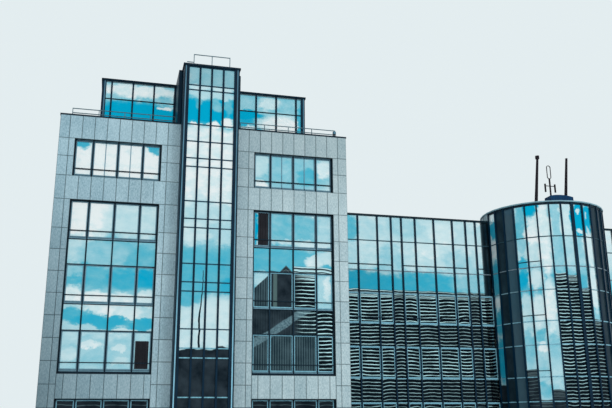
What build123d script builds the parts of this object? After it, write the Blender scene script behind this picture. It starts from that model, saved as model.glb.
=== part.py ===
from build123d import *
import os
from math import cos, radians, sin, tan

# An office building of three linked volumes: a square stone-clad block with a glazed stair
# tower and a set-back glazed top storey, a lower fully glazed wing, and a glazed rotunda
# that stands half out of the wing's front. Lengths are millimetres, angles are degrees.
# While drawing, X runs right along the front from the block's left corner, Y runs into the
# building from the stone front and Z rises from the ground. The finished nodes are moved so
# that the origin lies at the bottom centre of the whole building.

# Storeys
storey = 3500
block_storeys = 5
wing_storeys = 4
slab_thickness = 300
ground_slab_thickness = 250

# Stone block
block_width = 16540
block_depth = 16500
wall_thickness = 400
parapet_height = 800
coping_height = 80
coping_lip = 30
coping_joint = 10

# Window groups in the stone walls
corner_strip = 860
narrow_pane = 965
wide_pane = 1365
sill_height = 790
joined_sill_height = 700
head_height = 2950
sill_bar = 110
head_bar = 50
frame_bar = 80
frame_depth = 70
frame_reveal = 180
glass_thickness = 30
glass_clearance = 5

# Glazed stair tower in front of the block
tower_shift = 45
tower_width = 3200
tower_proud = 1000
tower_side_thickness = 80
tower_pier_lap = 200
corner_post_width = 200
corner_post_depth = 120
tower_columns = 4
tower_rail_heights = (1500, 2000, 3000)
tower_top_rails = (18020, 20130, 20430)
landing_height = 1900
landing_thickness = 300
top_level = 21600
cap_height = 110
cap_lip = 60

# Shaft behind the tower above the roof
shaft_width = 3650
shaft_wall = 200
shaft_depth = 4200

# Set-back glazed top storey
attic_width = 12440
attic_setback = 1960
attic_rear_setback = 1960
attic_roof_thickness = 120
attic_roof_lip = 50
attic_transom_height = 2860
attic_bay = 1270
attic_corner_width = 240
attic_corner_bay = 560

# Curtain wall bars shared by the tower, the top storey, the wing and the rotunda
mullion_width = 100
mullion_depth = 60
rail_height = 60
rail_depth = 30
pane_joint = 10

# Glazed wing
wing_front = 5500
wing_top = 15200
wing_edge_height = 120
wing_first_pane = 1080
wing_module_count = 4
pane_w = 1370
pane_m = 990
pane_n = 740
wing_corner_width = 160
wing_sill = 900
wing_head = 2900
upstand_thickness = 150
rear_bay = 1365
slab_edge_gap = 40
column_width = 350
column_inset = 1200
column_rows = 4

# Glazed rotunda
rotunda_offset = 16140
rotunda_radius = 4170
rotunda_sides = 33
rotunda_first_post = -168.2
rotunda_top = 15790
rotunda_plate = 80
rotunda_plate_lip = 40
rotunda_bays = 16
wide_post = 8
wide_post_width = 200
post_clearance = 0.3

# Things on the roofs
roof_rail_height = 480
roof_rail_drop = 260
roof_rail_bar = 40
roof_rail_bay = 1360
roof_rail_inset = 300
roof_rail_end = 600
roof_rail_gap = 80
tower_rail_height = 760
tower_rail_inset = 300
tower_rail_bay = 1050
tower_rail_stub = 380
tower_rail_stub_height = 260
plant_width = 1750
plant_shift = 170
plant_depth = 750
plant_height = 750
plant_rise = 100
plant_setback = 2650
mast_radius = 120
mast_tip_radius = 80
mast_height = 3950
mast_lean = 7
mast_sides = 12
mast_cap_radius = 140
mast_cap_height = 220
mast_spread = 1150
mast_shift = -110
mast_setback = 1600
antenna_height = 3300
antenna_radius = 60
antenna_sides = 8
antenna_loop_width = 320
antenna_loop_height = 1000
antenna_arm = 380
antenna_arm_drop = 520
antenna_tip_rise = 150
antenna_tip_drop = 450
antenna_bar = 44

# Places that follow from the sizes above
wall_top = block_storeys * storey + parapet_height
block_roof_level = block_storeys * storey
wing_roof_level = wing_storeys * storey
tower_axis = block_width / 2 - tower_shift
tower_left = tower_axis - tower_width / 2
tower_right = tower_axis + tower_width / 2
shaft_left = tower_axis - shaft_width / 2
shaft_right = tower_axis + shaft_width / 2
attic_left = (block_width - attic_width) / 2
attic_right = attic_left + attic_width
wing_module = (pane_w, pane_w, pane_m, pane_n, pane_m)
wing_cap_bottom = wing_top - wing_edge_height
rotunda_x = block_width + rotunda_offset
rotunda_step = 360 / rotunda_sides
rotunda_left = rotunda_x - rotunda_radius
rotunda_right = rotunda_x + rotunda_radius
rotunda_apothem = rotunda_radius * cos(radians(rotunda_step / 2))
glass_back = rail_depth + mullion_depth + glass_thickness
slab_front = wing_front + glass_back + slab_edge_gap


def module_lines(first):
    """Mullion lines to the right of the first one, following the wing's pane rhythm."""
    lines = [first]
    for pane in wing_module * wing_module_count:
        lines.append(lines[-1] + pane)
    return lines


wing_lines = module_lines(block_width + wing_first_pane)
wing_stub_end = wing_lines[-1] + mullion_width / 2
wing_end = wing_stub_end + wing_corner_width
middle_x = (wing_end - coping_lip) / 2
middle_y = (block_depth + coping_lip - tower_proud - cap_lip) / 2


def block(x0, x1, y0, y1, z0, z1):
    """A plain rectangular solid between two corners."""
    corner = (Align.MIN, Align.MIN, Align.MIN)
    return Pos(x0, y0, z0) * Box(x1 - x0, y1 - y0, z1 - z0, align=corner)


def spaced(first, last, count):
    """Lines at even steps from the first to the last."""
    return [first + (last - first) * i / count for i in range(count + 1)]


def bay_lines(first, last, bay):
    """Lines from the first to the last at even steps that come nearest to one bay."""
    return spaced(first, last, round((last - first) / bay))


def node(name, pieces):
    """Move the pieces of one node to the building's origin and write them."""
    shift = Pos(-middle_x, -middle_y, 0)
    solids = [solid for piece in pieces for solid in (shift * piece).solids()]
    export_step(Compound(children=solids), f"parts/{name}.step")


# Walls are drawn along local X with the outer face on local Y = 0 and the inside towards +Y
front_side = Pos(0, 0, 0)
rear_side = Pos(block_width, block_depth, 0) * Rot(0, 0, 180)
left_side = Pos(0, block_depth, 0) * Rot(0, 0, -90)
right_side = Pos(block_width, 0, 0) * Rot(0, 0, 90)


def window_rows():
    """Bottom and top of each opening: ground floor, three joined floors, top floor."""
    joined_top = (block_storeys - 2) * storey + head_height
    last = (block_storeys - 1) * storey
    return [
        (sill_height, head_height),
        (storey + joined_sill_height, joined_top),
        (last + sill_height, last + head_height),
    ]


def wall_piers(start, end, spans):
    """Full-height stone between the spans that hold windows."""
    edges = [start] + [edge for span in spans for edge in span] + [end]
    sides = zip(edges[::2], edges[1::2])
    return [block(left, right, 0, wall_thickness, 0, wall_top) for left, right in sides]


def wall_bands(spans):
    """Stone below, between and above the openings of each span."""
    levels = [0] + [level for row in window_rows() for level in row] + [wall_top]
    bands = []
    for left, right in spans:
        for low, high in zip(levels[::2], levels[1::2]):
            bands.append(block(left, right, 0, wall_thickness, low, high))
    return bands


def window_frame(lines, bottom, top):
    """One fused frame: posts on the lines and two bars a storey, the lowest down to the opening's bottom."""
    left = lines[0] - frame_bar / 2
    right = lines[-1] + frame_bar / 2
    near = frame_reveal
    far = frame_reveal + frame_depth
    bars = [block(x - frame_bar / 2, x + frame_bar / 2, near, far, bottom, top) for x in lines]
    for floor in range(block_storeys):
        sill = floor * storey + sill_height
        head = floor * storey + head_height
        if bottom <= sill < top:
            low = bottom if sill - bottom < sill_bar else sill
            bars.append(block(left, right, near, far, low, sill + sill_bar))
        if bottom < head <= top:
            bars.append(block(left, right, near, far, head - head_bar, head))
    return bars[0].fuse(*bars[1:])


def window_glass(lines, bottom, top):
    """One sheet a storey behind the frame, with its joints behind the head bars."""
    near = frame_reveal + frame_depth
    left = lines[0] - frame_bar / 2 + glass_clearance
    right = lines[-1] + frame_bar / 2 - glass_clearance
    heads = [floor * storey + head_height - head_bar / 2 for floor in range(block_storeys)]
    cuts = [level for level in heads if bottom < level < top - head_bar]
    lows = [bottom + glass_clearance] + [cut + pane_joint for cut in cuts]
    highs = cuts + [top - glass_clearance]
    return [block(left, right, near, near + glass_thickness, low, high) for low, high in zip(lows, highs)]


def group_pair(length):
    """Post lines of the two four-pane groups of a wall, each next to one corner."""
    widths = (0, narrow_pane, wide_pane, wide_pane, narrow_pane)
    first = corner_strip + frame_bar / 2
    left = [first + sum(widths[: i + 1]) for i in range(len(widths))]
    right = [length - x for x in reversed(left)]
    return [left, right]


def small_group(centre):
    """Post lines of the three-pane group beside the wing."""
    half = wide_pane / 2
    return [centre + x for x in (-half - narrow_pane, -half, half, half + narrow_pane)]


def stone_wall(start, end, groups, breaks=()):
    """Piers, bands, window frames and window glass of one stone wall."""
    spans = [(lines[0] - frame_bar / 2, lines[-1] + frame_bar / 2) for lines in groups]
    piers = wall_piers(start, end, sorted(spans + list(breaks)))
    frames = [window_frame(lines, *row) for lines in groups for row in window_rows()]
    glass = [sheet for lines in groups for row in window_rows() for sheet in window_glass(lines, *row)]
    return piers, wall_bands(spans), frames, glass


def write_walls(name, walls):
    """Write the nodes of one or two walls that stand apart, each given with its place."""
    kinds = ("wall_piers", "wall_bands", "window_frames", "window_glass")
    for index, kind in enumerate(kinds):
        node(f"{name}_{kind}", [place * piece for place, wall in walls for piece in wall[index]])


def stone_block():
    """The four stone walls, the floors, the roof and the coping."""
    tower_gap = (tower_left + tower_pier_lap, tower_right - tower_pier_lap)
    pair = group_pair(block_width)
    side_ends = (wall_thickness, block_depth - wall_thickness)
    left_wall = stone_wall(*side_ends, group_pair(block_depth))
    right_wall = stone_wall(*side_ends, [small_group(wing_front / 2)])
    write_walls("front", [(front_side, stone_wall(0, block_width, pair, breaks=[tower_gap]))])
    write_walls("rear", [(rear_side, stone_wall(0, block_width, pair))])
    write_walls("side", [(left_side, left_wall), (right_side, right_wall)])
    inside = (wall_thickness, block_width - wall_thickness, wall_thickness, block_depth - wall_thickness)
    floors = [block(*inside, 0, ground_slab_thickness)]
    for floor in range(1, block_storeys):
        floors.append(block(*inside, floor * storey - slab_thickness, floor * storey))
    node("block_floors", floors)
    node("block_roof", [block(*inside, block_roof_level - slab_thickness, block_roof_level)])
    node("block_coping", coping())


def coping():
    """Metal strips on top of the stone walls, open where the tower passes."""
    low = wall_top
    high = wall_top + coping_height
    near = -coping_lip
    inner = wall_thickness + coping_lip
    right = block_width + coping_lip
    back = block_depth + coping_lip
    run = (inner + coping_joint, block_depth - inner - coping_joint)
    return [
        block(near, shaft_left, near, inner, low, high),
        block(shaft_right, right, near, inner, low, high),
        block(near, right, block_depth - inner, back, low, high),
        block(near, inner, *run, low, high),
        block(block_width - inner, right, *run, low, high),
    ]


def curtain_wall(lines, levels, left, right, bottom, top, splits):
    """Posts, rails and glass sheets of a flat glazed wall whose outer face is local Y = 0."""
    half = mullion_width / 2
    posts = [block(x - half, x + half, 0, mullion_depth, bottom, top) for x in lines]
    near = mullion_depth
    far = mullion_depth + rail_depth
    rails = [block(left, right, near, far, z - rail_height / 2, z + rail_height / 2) for z in levels]
    back = far + glass_thickness
    sheets = [block(left, right, far, back, low, high) for low, high in sheet_spans(bottom, top, splits)]
    return posts, rails, sheets


def sheet_spans(bottom, top, splits):
    """Bottom and top of each glass sheet, with an open joint at each split."""
    lows = [bottom] + [z + pane_joint / 2 for z in splits]
    highs = [z - pane_joint / 2 for z in splits] + [top]
    return list(zip(lows, highs))


def tower():
    """The glazed bay that projects in front of the block, with its corner posts and cap."""
    front = Pos(0, -tower_proud, 0)
    glass_left = tower_left + corner_post_width
    glass_right = tower_right - corner_post_width
    lines = spaced(glass_left + mullion_width / 2, glass_right - mullion_width / 2, tower_columns)
    levels = [rail_height / 2]
    for floor in range(block_storeys):
        levels += [floor * storey + height for height in tower_rail_heights]
    levels += list(tower_top_rails) + [top_level - rail_height / 2]
    splits = [floor * storey + tower_rail_heights[2] for floor in range(block_storeys)]
    posts, rails, sheets = curtain_wall(lines, levels, glass_left, glass_right, 0, top_level, splits)
    node("tower_posts", [front * piece for piece in posts])
    node("tower_rails", [front * piece for piece in rails])
    node("tower_glass", [front * piece for piece in sheets])
    corner_back = -tower_proud + corner_post_depth
    corners = [
        block(tower_left, glass_left, -tower_proud, corner_back, 0, top_level),
        block(glass_right, tower_right, -tower_proud, corner_back, 0, top_level),
    ]
    node("tower_corner_posts", corners)
    inner_left = tower_left + tower_side_thickness
    inner_right = tower_right - tower_side_thickness
    sides = [
        block(tower_left, inner_left, corner_back, 0, 0, top_level),
        block(inner_right, tower_right, corner_back, 0, 0, top_level),
    ]
    node("tower_side_walls", sides)
    gap_left = tower_left + tower_pier_lap
    gap_right = tower_right - tower_pier_lap
    landing_front = -tower_proud + glass_back + slab_edge_gap
    landings = []
    for floor in range(block_storeys):
        top = floor * storey + landing_height
        bottom = top - landing_thickness
        landings.append(block(gap_left, gap_right, landing_front, wall_thickness, bottom, top))
    node("tower_landings", landings)
    node("tower_cap", [tower_cap()])
    node("tower_guard_rail", [tower_guard_rail()])


def tower_cap():
    """One flat plate that roofs the tower and the wider shaft behind it."""
    left = tower_left - cap_lip
    right = tower_right + cap_lip
    front = -tower_proud - cap_lip
    outline = Polyline(
        (left, front),
        (right, front),
        (right, 0),
        (shaft_right, 0),
        (shaft_right, shaft_depth),
        (shaft_left, shaft_depth),
        (shaft_left, 0),
        (left, 0),
        close=True,
    )
    return Pos(0, 0, top_level) * extrude(make_face(outline), cap_height)


def tower_guard_rail():
    """Three short posts, a hand rail and a stub bar near the tower's front edge."""
    y = -tower_proud + tower_rail_inset
    low = top_level + cap_height
    high = low + tower_rail_height
    xs = [tower_axis - tower_rail_bay, tower_axis, tower_axis + tower_rail_bay]
    stub = rail_bar(xs[0] - tower_rail_stub, xs[0], y, low + tower_rail_stub_height)
    posts = [rail_post(x, y, low, high) for x in xs]
    return rail_bar(xs[0], xs[-1], y, high).fuse(stub, *posts)


def shaft():
    """The wider closed shaft behind the tower, above the block's roof."""
    profile = Polyline(
        (0, wall_top),
        (0, top_level),
        (shaft_depth, top_level),
        (shaft_depth, block_roof_level),
        (wall_thickness, block_roof_level),
        (wall_thickness, wall_top),
        close=True,
    )
    cheek = extrude(Plane.YZ * make_face(profile), shaft_wall)
    inner_left = shaft_left + shaft_wall
    inner_right = shaft_right - shaft_wall
    back = block(inner_left, inner_right, shaft_depth - shaft_wall, shaft_depth, block_roof_level, top_level)
    right_cheek = Pos(inner_right, 0, 0) * cheek
    node("shaft_walls", [back.fuse(Pos(shaft_left, 0, 0) * cheek, right_cheek)])


def attic_walls():
    """Place, post lines and ends of the five runs of the top storey's glass."""
    near = attic_setback
    far = block_depth - attic_rear_setback
    depth = far - near
    half = mullion_width / 2
    corner = attic_corner_width
    first = attic_corner_bay
    front = Pos(0, near, 0)
    left = Pos(attic_left, far, 0) * Rot(0, 0, -90)
    right = Pos(attic_right, near, 0) * Rot(0, 0, 90)
    rear = Pos(attic_right, far, 0) * Rot(0, 0, 180)
    side_lines = bay_lines(first, depth - first, attic_bay)
    rear_lines = bay_lines(first, attic_width - first, attic_bay)
    left_lines = bay_lines(attic_left + first, shaft_left - half, attic_bay)
    right_lines = bay_lines(shaft_right + half, attic_right - first, attic_bay)
    return [
        (front, left_lines, attic_left + corner, shaft_left),
        (front, right_lines, shaft_right, attic_right - corner),
        (left, side_lines, corner, depth - corner),
        (right, side_lines, corner, depth - corner),
        (rear, rear_lines, corner, attic_width - corner),
    ]


def attic():
    """The glazed top storey, set back from the stone walls, with thick corner posts."""
    near = attic_setback
    far = block_depth - attic_rear_setback
    low = block_roof_level
    roof_low = top_level - attic_roof_thickness
    levels = [low + rail_height / 2, low + attic_transom_height, roof_low - rail_height / 2]
    posts, rails, sheets = [], [], []
    for place, lines, start, end in attic_walls():
        wall = shifted(place, curtain_wall(lines, levels, start, end, low, roof_low, []))
        posts += wall[0]
        rails += wall[1]
        sheets += wall[2]
    size = attic_corner_width
    for x in (attic_left, attic_right - size):
        posts += [block(x, x + size, y, y + size, low, roof_low) for y in (near, far - size)]
    node("attic_posts", posts)
    node("attic_rails", rails)
    node("attic_glass", sheets)
    node("attic_roof", [attic_roof()])


def attic_roof():
    """The top storey's roof plate with a small lip, cut out round the shaft."""
    left = attic_left - attic_roof_lip
    right = attic_right + attic_roof_lip
    near = attic_setback - attic_roof_lip
    far = block_depth - attic_rear_setback + attic_roof_lip
    outline = Polyline(
        (left, near),
        (shaft_left, near),
        (shaft_left, shaft_depth),
        (shaft_right, shaft_depth),
        (shaft_right, near),
        (right, near),
        (right, far),
        (left, far),
        close=True,
    )
    roof_low = top_level - attic_roof_thickness
    return Pos(0, 0, roof_low) * extrude(make_face(outline), attic_roof_thickness)


def wing_levels():
    """Rail heights of the wing and the rotunda, from the ground up to the roof edge."""
    levels = [rail_height / 2, wing_head]
    for floor in range(1, wing_storeys):
        levels += [floor * storey + wing_sill, floor * storey + wing_head]
    return levels


def shifted(place, wall):
    """Move the posts, rails and sheets of a curtain wall to their place."""
    return [[place * piece for piece in pieces] for pieces in wall]


def even_lines(length, bay):
    """Post lines at even steps near one bay, flush with both ends of a run."""
    half = mullion_width / 2
    return bay_lines(half, length - half, bay)


def write_curtain_walls(name, walls):
    """Write the nodes of curtain walls that stand apart from each other."""
    for index, kind in enumerate(("posts", "rails", "glass")):
        node(f"{name}_{kind}", [piece for wall in walls for piece in wall[index]])


def edged_wall(place, lines, left, right):
    """A curtain wall of the wing below the thick edge strip of its roof."""
    splits = [floor * storey + wing_head for floor in range(wing_storeys - 1)]
    wall = curtain_wall(lines, wing_levels(), left, right, 0, wing_cap_bottom, splits)
    wall[1].append(block(left, right, 0, glass_back, wing_cap_bottom, wing_top))
    return shifted(place, wall)


def wing():
    """The long glazed wing beside the block: its curtain walls, floors, roof and columns."""
    front = Pos(0, wing_front, 0)
    left_end = rotunda_left - post_clearance
    right_start = rotunda_right + post_clearance
    left_lines = [x for x in wing_lines if x < rotunda_left - mullion_width]
    right_lines = [x for x in wing_lines if x > rotunda_right + mullion_width]
    left_wall = edged_wall(front, left_lines, block_width, left_end)
    right_wall = edged_wall(front, right_lines, right_start, wing_stub_end)
    write_curtain_walls("wing_front", [left_wall, right_wall])
    rear_run = wing_stub_end - block_width
    end_run = block_depth - wing_front - 2 * wing_corner_width
    rear_place = Pos(wing_stub_end, block_depth, 0) * Rot(0, 0, 180)
    end_place = Pos(wing_end, wing_front + wing_corner_width, 0) * Rot(0, 0, 90)
    rear_wall = edged_wall(rear_place, even_lines(rear_run, rear_bay), 0, rear_run)
    end_wall = edged_wall(end_place, even_lines(end_run, rear_bay), 0, end_run)
    write_curtain_walls("wing_rear", [rear_wall, end_wall])
    corners = [
        block(wing_stub_end, wing_end, wing_front, wing_front + wing_corner_width, 0, wing_top),
        block(wing_stub_end, wing_end, block_depth - wing_corner_width, block_depth, 0, wing_top),
    ]
    node("wing_corner_posts", corners)
    floors = [wing_floor(0, ground_slab_thickness)]
    for floor in range(1, wing_storeys):
        floors.append(wing_floor(floor * storey - slab_thickness, slab_thickness))
    node("wing_floors", floors)
    node("wing_roof", [wing_floor(wing_roof_level - slab_thickness, slab_thickness)])
    node("wing_columns", wing_columns())
    node("wing_roof_upstand", wing_upstand())


def wing_floor(level, thickness):
    """One floor of the wing with its round bay that reaches into the rotunda."""
    right = wing_end - glass_back - slab_edge_gap
    rear = block_depth - glass_back - slab_edge_gap
    main = block(block_width, right, slab_front, rear, level, level + thickness)
    radius = rotunda_radius - glass_back - slab_edge_gap
    angles = [rotunda_first_post + (index - 1) * rotunda_step for index in range(rotunda_bays + 1)]
    arc = [(rotunda_x + radius * cos(radians(a)), wing_front + radius * sin(radians(a))) for a in angles]
    outline = Polyline((arc[0][0], slab_front), *arc, (arc[-1][0], slab_front), close=True)
    return main.fuse(Pos(0, 0, level) * extrude(make_face(outline), thickness))


def wing_columns():
    """Columns between the floors, in a front and a rear row."""
    half = column_width / 2
    rows = (slab_front + column_inset, block_depth - glass_back - slab_edge_gap - column_inset)
    bay = (wing_end - block_width) / column_rows
    xs = spaced(block_width + bay / 2, wing_end - bay / 2, column_rows - 1)
    columns = []
    for floor in range(wing_storeys):
        low = floor * storey if floor else ground_slab_thickness
        high = (floor + 1) * storey - slab_thickness
        for x in xs:
            columns += [block(x - half, x + half, y - half, y + half, low, high) for y in rows]
    return columns


def wing_upstand():
    """Low walls on the wing's roof edge, behind the top panes."""
    low = wing_roof_level
    high = wing_cap_bottom
    near = wing_front + glass_back
    rear = block_depth - glass_back
    right = wing_end - glass_back
    corner_right = right - upstand_thickness - coping_joint
    run = (wing_front + wing_corner_width, block_depth - wing_corner_width)
    return [
        block(block_width, rotunda_left - post_clearance, near, near + upstand_thickness, low, high),
        block(rotunda_right + post_clearance, corner_right, near, near + upstand_thickness, low, high),
        block(block_width, corner_right, rear - upstand_thickness, rear, low, high),
        block(right - upstand_thickness, right, *run, low, high),
    ]


def facet_place(index):
    """Place of one flat side of the rotunda, outer face on local Y = 0."""
    angle = rotunda_first_post + (index - 0.5) * rotunda_step
    return Pos(rotunda_x, wing_front, 0) * Rot(0, 0, angle + 90) * Pos(0, -rotunda_apothem, 0)


def post_half(index):
    """Half the width of one post of the rotunda."""
    return (wide_post_width if index == wide_post else mullion_width) / 2


def facet_end(depth, index):
    """Distance from a side's middle to the end of a bar whose back lies at this depth, beside one post."""
    half_step = radians(rotunda_step / 2)
    corner = (rotunda_apothem - depth) * tan(half_step)
    return corner - post_half(index) / cos(half_step) - post_clearance


def facet_bar(index, near, far, low, high):
    """A flat piece of one side of the rotunda, between its two posts."""
    bar = block(-facet_end(far, index), facet_end(far, index + 1), near, far, low, high)
    return facet_place(index) * bar


def rotunda():
    """The faceted glass drum: posts, rails and panes in front, a low rear wall and a roof plate."""
    plate_bottom = rotunda_top - rotunda_plate
    levels = wing_levels() + [plate_bottom - rail_height / 2]
    splits = [floor * storey + wing_head for floor in range(wing_storeys - 1)]
    far = mullion_depth + rail_depth
    centre = Pos(rotunda_x, wing_front, 0)
    posts, rails, panes, rear = [], [], [], []
    for index in range(rotunda_sides):
        angle = rotunda_first_post + (index - 1) * rotunda_step
        foot = 0 if index <= rotunda_bays else wing_roof_level
        half = post_half(index)
        post = block(-half, half, -rotunda_radius, glass_back - rotunda_radius, foot, plate_bottom)
        posts.append(centre * Rot(0, 0, angle + 90) * post)
    for index in range(rotunda_bays):
        for z in levels:
            rails.append(facet_bar(index, mullion_depth, far, z - rail_height / 2, z + rail_height / 2))
        for low, high in sheet_spans(0, plate_bottom, splits):
            panes.append(facet_bar(index, far, glass_back, low, high))
    for index in range(rotunda_bays, rotunda_sides):
        rear.append(facet_bar(index, 0, upstand_thickness, wing_roof_level, plate_bottom))
    node("rotunda_posts", posts)
    node("rotunda_rails", rails)
    node("rotunda_glass", panes)
    node("rotunda_rear_wall", rear)
    circle = rotunda_radius + rotunda_plate_lip
    plate = extrude(RegularPolygon(circle, rotunda_sides, rotation=rotunda_first_post), rotunda_plate)
    node("rotunda_roof", [centre * Pos(0, 0, plate_bottom) * plate])


def rail_bar(start, end, y, top):
    """A square bar of a guard rail that runs along X, flush with the outer sides of its end posts."""
    half = roof_rail_bar / 2
    return block(start - half, end + half, y - half, y + half, top - roof_rail_bar, top)


def rail_post(x, y, low, high):
    """A square post of a guard rail."""
    half = roof_rail_bar / 2
    return block(x - half, x + half, y - half, y + half, low, high)


def guard_rail(start, end):
    """A low double rail on posts along the front of the block's roof."""
    low = wall_top + coping_height
    high = low + roof_rail_height
    y = roof_rail_inset
    middle = rail_bar(start, end, y, high - roof_rail_drop)
    posts = [rail_post(x, y, low, high) for x in bay_lines(start, end, roof_rail_bay)]
    return rail_bar(start, end, y, high).fuse(middle, *posts)


def roof_things():
    """Guard rails on the block, and the box, masts and antenna on the rotunda."""
    left_rail = guard_rail(roof_rail_end, shaft_left - roof_rail_gap)
    right_rail = guard_rail(shaft_right + roof_rail_gap, block_width - roof_rail_end)
    node("roof_guard_rails", [left_rail, right_rail])
    node("plant_box", [plant_box()])
    left_foot = rotunda_x + mast_shift - mast_spread
    right_foot = rotunda_x + mast_shift + mast_spread
    node("masts", [mast(left_foot).fuse(mast_cap(left_foot)), mast(right_foot), antenna()])


def plant_box():
    """A low box with a slightly arched top."""
    half = plant_width / 2
    arc = ThreePointArc((half, plant_height), (0, plant_height + plant_rise), (-half, plant_height))
    outline = Polyline((-half, plant_height), (-half, 0), (half, 0), (half, plant_height))
    face = make_face([*outline.edges(), *arc.edges()])
    rear = wing_front - plant_setback + plant_depth
    return Pos(rotunda_x + plant_shift, rear, rotunda_top) * extrude(Plane.XZ * face, plant_depth)


def mast_section(foot, height, radius):
    """The outline of a leaning pole at one height."""
    lean = height * tan(radians(mast_lean))
    place = Pos(foot + lean, wing_front - mast_setback, rotunda_top + height)
    return place * RegularPolygon(radius, mast_sides)


def mast(foot):
    """A tapered pole that leans a little to the right."""
    sections = [mast_section(foot, 0, mast_radius), mast_section(foot, mast_height, mast_tip_radius)]
    return loft([section.face() for section in sections])


def mast_cap(foot):
    """The thicker head of a pole."""
    return extrude(mast_section(foot, mast_height - mast_cap_height, mast_cap_radius), mast_cap_height)


def antenna():
    """A thin upright with a tall flat loop on its top and two short arms."""
    foot = antenna_height - antenna_loop_height
    thin = antenna_bar / 2
    pole = extrude(RegularPolygon(antenna_radius, antenna_sides), foot + thin)
    hole_height = antenna_loop_height - 2 * antenna_bar
    hole_width = antenna_loop_width - 2 * antenna_bar
    outer = SlotOverall(antenna_loop_height, antenna_loop_width, rotation=90)
    inner = SlotOverall(hole_height, hole_width, rotation=90)
    loop = extrude(Plane.XZ * (outer - inner), thin, both=True)
    level = foot - antenna_arm_drop
    arm = block(-antenna_arm, antenna_arm, -thin, thin, level - thin, level + thin)
    tips = []
    for x in (-antenna_arm, antenna_arm):
        side = (x - antenna_bar, x + antenna_bar, -antenna_bar, antenna_bar)
        tips.append(block(*side, level - antenna_tip_drop, level + antenna_tip_rise))
    shape = pole.fuse(Pos(0, 0, foot + antenna_loop_height / 2) * loop, arm, *tips)
    return Pos(rotunda_x, wing_front - mast_setback, rotunda_top) * shape


def save_all():
    """Write every node."""
    os.makedirs("parts", exist_ok=True)
    stone_block()
    tower()
    shaft()
    attic()
    wing()
    rotunda()
    roof_things()


save_all()
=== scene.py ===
import bpy
import math
import random
from mathutils import Matrix, Vector


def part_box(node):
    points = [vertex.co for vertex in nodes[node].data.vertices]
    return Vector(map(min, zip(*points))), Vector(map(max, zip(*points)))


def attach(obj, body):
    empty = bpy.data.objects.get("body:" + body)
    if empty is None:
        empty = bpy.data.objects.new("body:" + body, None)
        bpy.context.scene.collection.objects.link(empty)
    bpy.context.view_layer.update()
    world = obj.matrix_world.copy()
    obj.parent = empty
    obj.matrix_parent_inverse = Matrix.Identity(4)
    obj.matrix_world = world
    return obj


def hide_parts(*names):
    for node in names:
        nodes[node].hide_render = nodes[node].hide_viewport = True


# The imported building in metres: X runs along the front, Y into the building and Z up
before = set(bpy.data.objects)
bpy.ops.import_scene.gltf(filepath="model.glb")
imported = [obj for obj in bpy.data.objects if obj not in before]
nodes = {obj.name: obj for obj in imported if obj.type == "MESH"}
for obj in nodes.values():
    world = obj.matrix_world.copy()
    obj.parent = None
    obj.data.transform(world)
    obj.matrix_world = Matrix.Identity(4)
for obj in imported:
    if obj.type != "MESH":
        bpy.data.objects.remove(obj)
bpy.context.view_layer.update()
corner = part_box("front_wall_piers")[0]
roof_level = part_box("block_roof")[1].z
chance = random.Random(11)
STOREY = 3.5

# Camera, from the stone block's lower left front corner
CAMERA_PLACE = (3.306, -42.083, 1.7)
CAMERA_YAW = 14.2975
CAMERA_PITCH = 15.818
CAMERA_ROLL = -0.3528
CAMERA_LENS = 45.471
SENSOR_WIDTH = 36
CAMERA_REACH = 1500

# Soft light from the upper right, pale surroundings and a wide floor
SOFT_BOX_PLACE = (14, -50, 32)
SOFT_BOX_SIZE = 22
SOFT_BOX_POWER = 8500
SURROUNDINGS = (0.7, 0.77, 0.79, 1)
SURROUNDINGS_STRENGTH = 1.1
FLOOR_HALF = 400

# Stone panels: the first upright joint from the middle of a wall, the panels beside it, and level joints
PANEL_THICKNESS = 0.02
PANEL_JOINT = 0.018
PANEL_FIRST = 2.342
PANEL_WIDTH = 0.6735
PANEL_COUNT = 20
PANEL_LEVELS = (13.49, 14.84, 15.91, 16.98)
PANEL_COURSE_TOP = 11.84

# Opening panes, by the level of their middle over the floor and their least height, with sashes and bars
OPENING_LEVELS = (0.9, 2.9)
OPENING_HEIGHT = 1.2
SASH_SIDE = 0.05
SASH_BOTTOM = 0.07
SASH_DEPTH = 0.035
TRANSOM_HEIGHT = 1.28
TRANSOM_BAR = 0.045
WIDE_PANE = 0.8

# How far panes reach behind their bars, and strips on bars and posts
PANE_LAP = 0.012
BAR_STRIP = (0.02, 0.075)
CORNER_EDGE = 0.065
EDGE_PROUD = 0.006


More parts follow.
